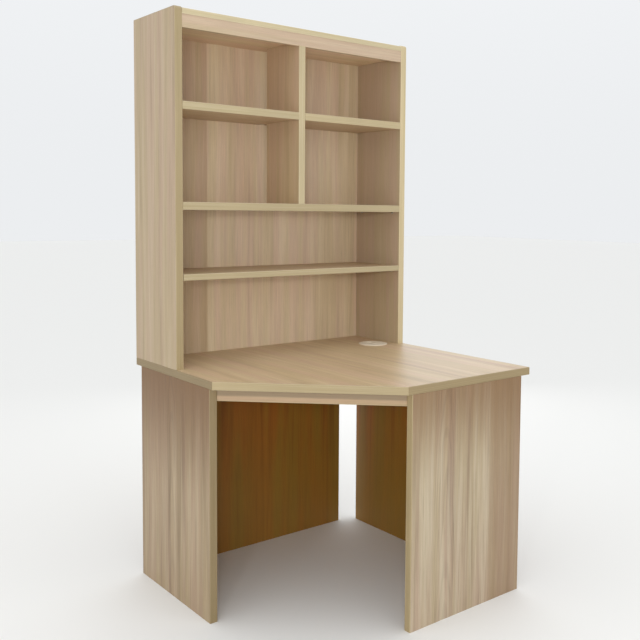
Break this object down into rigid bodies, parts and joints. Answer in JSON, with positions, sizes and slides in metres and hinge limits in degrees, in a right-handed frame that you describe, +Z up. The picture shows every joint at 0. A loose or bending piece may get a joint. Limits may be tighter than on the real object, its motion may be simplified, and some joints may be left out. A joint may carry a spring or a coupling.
{
  "type": "corner desk with hutch",
  "caption": "Wood-effect corner desk with a cut diagonal front, panel legs, a cable port and a tall open hutch bookcase on its worktop.",
  "frame": {"origin": "on the floor, at the centre of the desk's square footprint", "axes": "+Z up; +X and +Y towards the two walls, which meet at +X +Y; the hutch stands along the +Y wall and faces -Y; the cut front faces -X -Y"},
  "size_m": [0.94, 0.94, 1.87],
  "materials": {
    "board_face": "satin wood-grain melamine face",
    "knee_board": "satin wood-grain melamine face, darker",
    "edge_band": "satin straight-grain edge band",
    "port_plastic": "moulded, fine satin",
    "block_plastic": "moulded, satin",
    "steel": "bright zinc-plated",
    "dowel_beech": "raw fluted beech"
  },
  "bodies": {
    "root": {"cable_port_liner": "port_plastic", "divider": "board_face", "divider_band": "edge_band", "front_rail": "board_face", "front_rail_band": "edge_band", "hutch_back_panel": "board_face", "hutch_dowel_left_front": "dowel_beech", "hutch_dowel_left_rear": "dowel_beech", "hutch_dowel_right_front": "dowel_beech", "hutch_dowel_right_rear": "dowel_beech", "hutch_fascia": "board_face", "hutch_left_band": "edge_band", "hutch_left_side": "board_face", "hutch_right_band": "edge_band", "hutch_right_side": "board_face", "hutch_roof_board": "board_face", "hutch_top_band": "edge_band", "hutch_top_board": "board_face", "left_back_band": "edge_band", "left_back_panel": "knee_board", "left_cam": "steel", "left_cam_bolt": "steel", "left_front_block": "block_plastic", "left_leg_band": "edge_band", "left_leg_panel": "board_face", "left_rear_block": "block_plastic", "lower_shelf_peg_left_front": "steel", "lower_shelf_peg_left_rear": "steel", "lower_shelf_peg_right_front": "steel", "lower_shelf_peg_right_rear": "steel", "middle_shelf": "board_face", "middle_shelf_band": "edge_band", "middle_shelf_peg_left_front": "steel", "middle_shelf_peg_left_rear": "steel", "middle_shelf_peg_right_front": "steel", "middle_shelf_peg_right_rear": "steel", "rail_bracket_left": "steel", "rail_bracket_right": "steel", "right_back_band": "edge_band", "right_back_panel": "knee_board", "right_cam": "steel", "right_cam_bolt": "steel", "right_front_block": "block_plastic", "right_leg_band": "edge_band", "right_leg_panel": "board_face", "right_rear_block": "block_plastic", "upper_left_shelf": "board_face", "upper_left_shelf_band": "edge_band", "upper_right_shelf": "board_face", "upper_right_shelf_band": "edge_band", "worktop": "board_face", "worktop_band_front": "edge_band", "worktop_band_left": "edge_band", "worktop_band_rear": "edge_band", "worktop_band_rear_right": "edge_band", "worktop_band_right": "edge_band"},
    "lower_shelf": {"lower_shelf": "board_face", "lower_shelf_band": "edge_band"},
    "port_cap": {"cable_port_cap": "port_plastic"},
    "port_shutter": {"cable_port_shutter": "port_plastic"}
  },
  "joints": [
    {"name": "lower_shelf_slide", "type": "slide", "parent": "root", "child": "lower_shelf", "axis": [0, -1, 0], "range_m": [0, 0.28]},
    {"name": "port_cap_lift", "type": "slide", "parent": "root", "child": "port_cap", "axis": [0, 0, 1], "range_m": [0, 0.03]},
    {"name": "port_shutter_turn", "type": "hinge", "parent": "port_cap", "child": "port_shutter", "pos_m": [0.368, 0.227, 0.7425], "axis": [0, 0, 1], "range_deg": [0, 180]}
  ]
}
